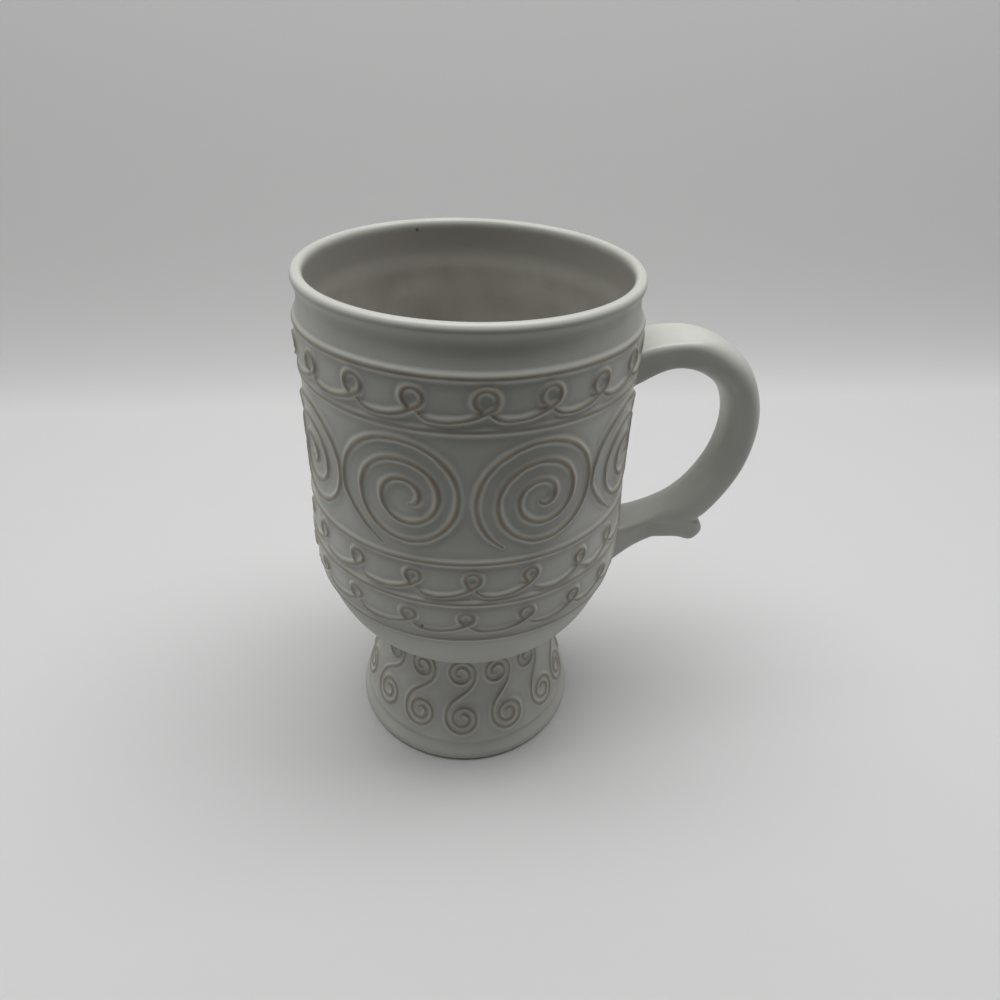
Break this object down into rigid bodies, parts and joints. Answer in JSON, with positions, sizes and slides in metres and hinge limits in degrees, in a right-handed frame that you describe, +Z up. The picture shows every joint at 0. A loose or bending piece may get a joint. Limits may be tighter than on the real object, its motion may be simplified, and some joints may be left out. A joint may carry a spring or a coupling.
{
  "type": "mug",
  "caption": "Tall stoneware mug on a bell foot, with a strap handle and raised spirals and running scrolls on the wall.",
  "frame": {"origin": "middle of the foot's ring, on the mug's axis, in the plane of the table", "axes": "+Z up along the mug's axis, +X from the axis to the handle"},
  "size_m": [0.1269, 0.0886, 0.1442],
  "materials": {
    "glaze": "satin-matte off-white glaze that breaks to a warm brown on the raised lines"
  },
  "bodies": {
    "root": {"mug": "glaze"}
  },
  "joints": []
}
